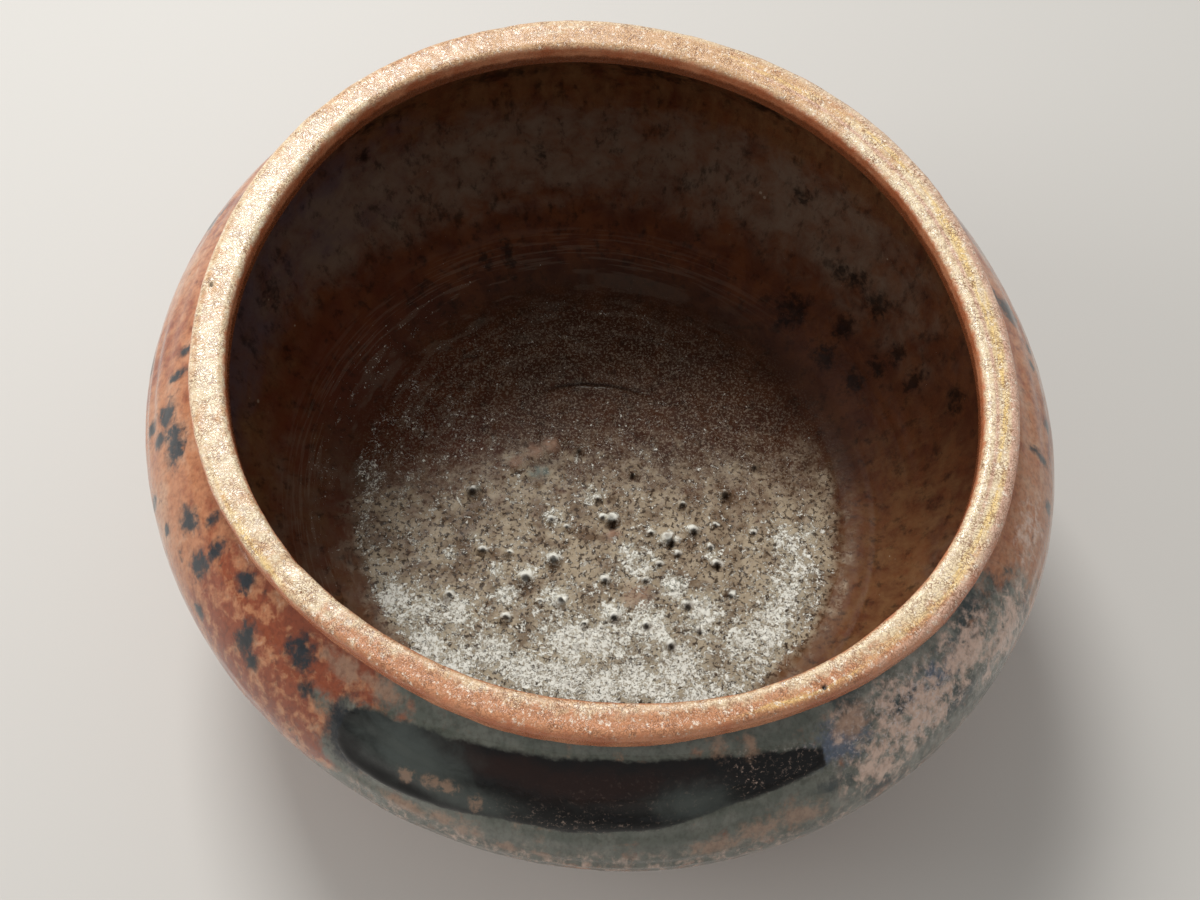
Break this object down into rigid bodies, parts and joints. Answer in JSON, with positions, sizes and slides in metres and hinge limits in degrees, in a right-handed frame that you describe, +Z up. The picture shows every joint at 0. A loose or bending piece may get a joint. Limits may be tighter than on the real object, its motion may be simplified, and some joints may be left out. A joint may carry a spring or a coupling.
{
  "type": "waste water bowl",
  "caption": "Round-bellied glazed stoneware waste water bowl for tea, with a thick flat lip, a deep dark well and a low foot ring.",
  "frame": {"origin": "centre of the foot ring's lower face, on the table", "axes": "+Z up along the bowl's axis, -Y towards the side with the black pour, +X to the right of that side"},
  "size_m": [0.1592, 0.1592, 0.078],
  "materials": {
    "clay": "bare fired stoneware, dry and slightly gritty",
    "rim_glaze": "buff to copper glaze with a fine broken grain, satin gloss",
    "outer_glaze": "mottled red brown glaze with dark spots and grey green runs, gloss",
    "black_glaze": "black glaze, high gloss",
    "inner_glaze": "dark brown glaze with black blotches, satin gloss",
    "floor_glaze": "grey buff pooled glaze with pale speckle and pits, satin gloss"
  },
  "bodies": {
    "root": {"clay_body": "clay", "foot_ring": "clay", "rim_coil": "clay", "rim_glaze": "rim_glaze", "outer_glaze": "outer_glaze", "black_pour": "black_glaze", "inner_glaze": "inner_glaze", "floor_glaze": "floor_glaze"}
  },
  "joints": []
}
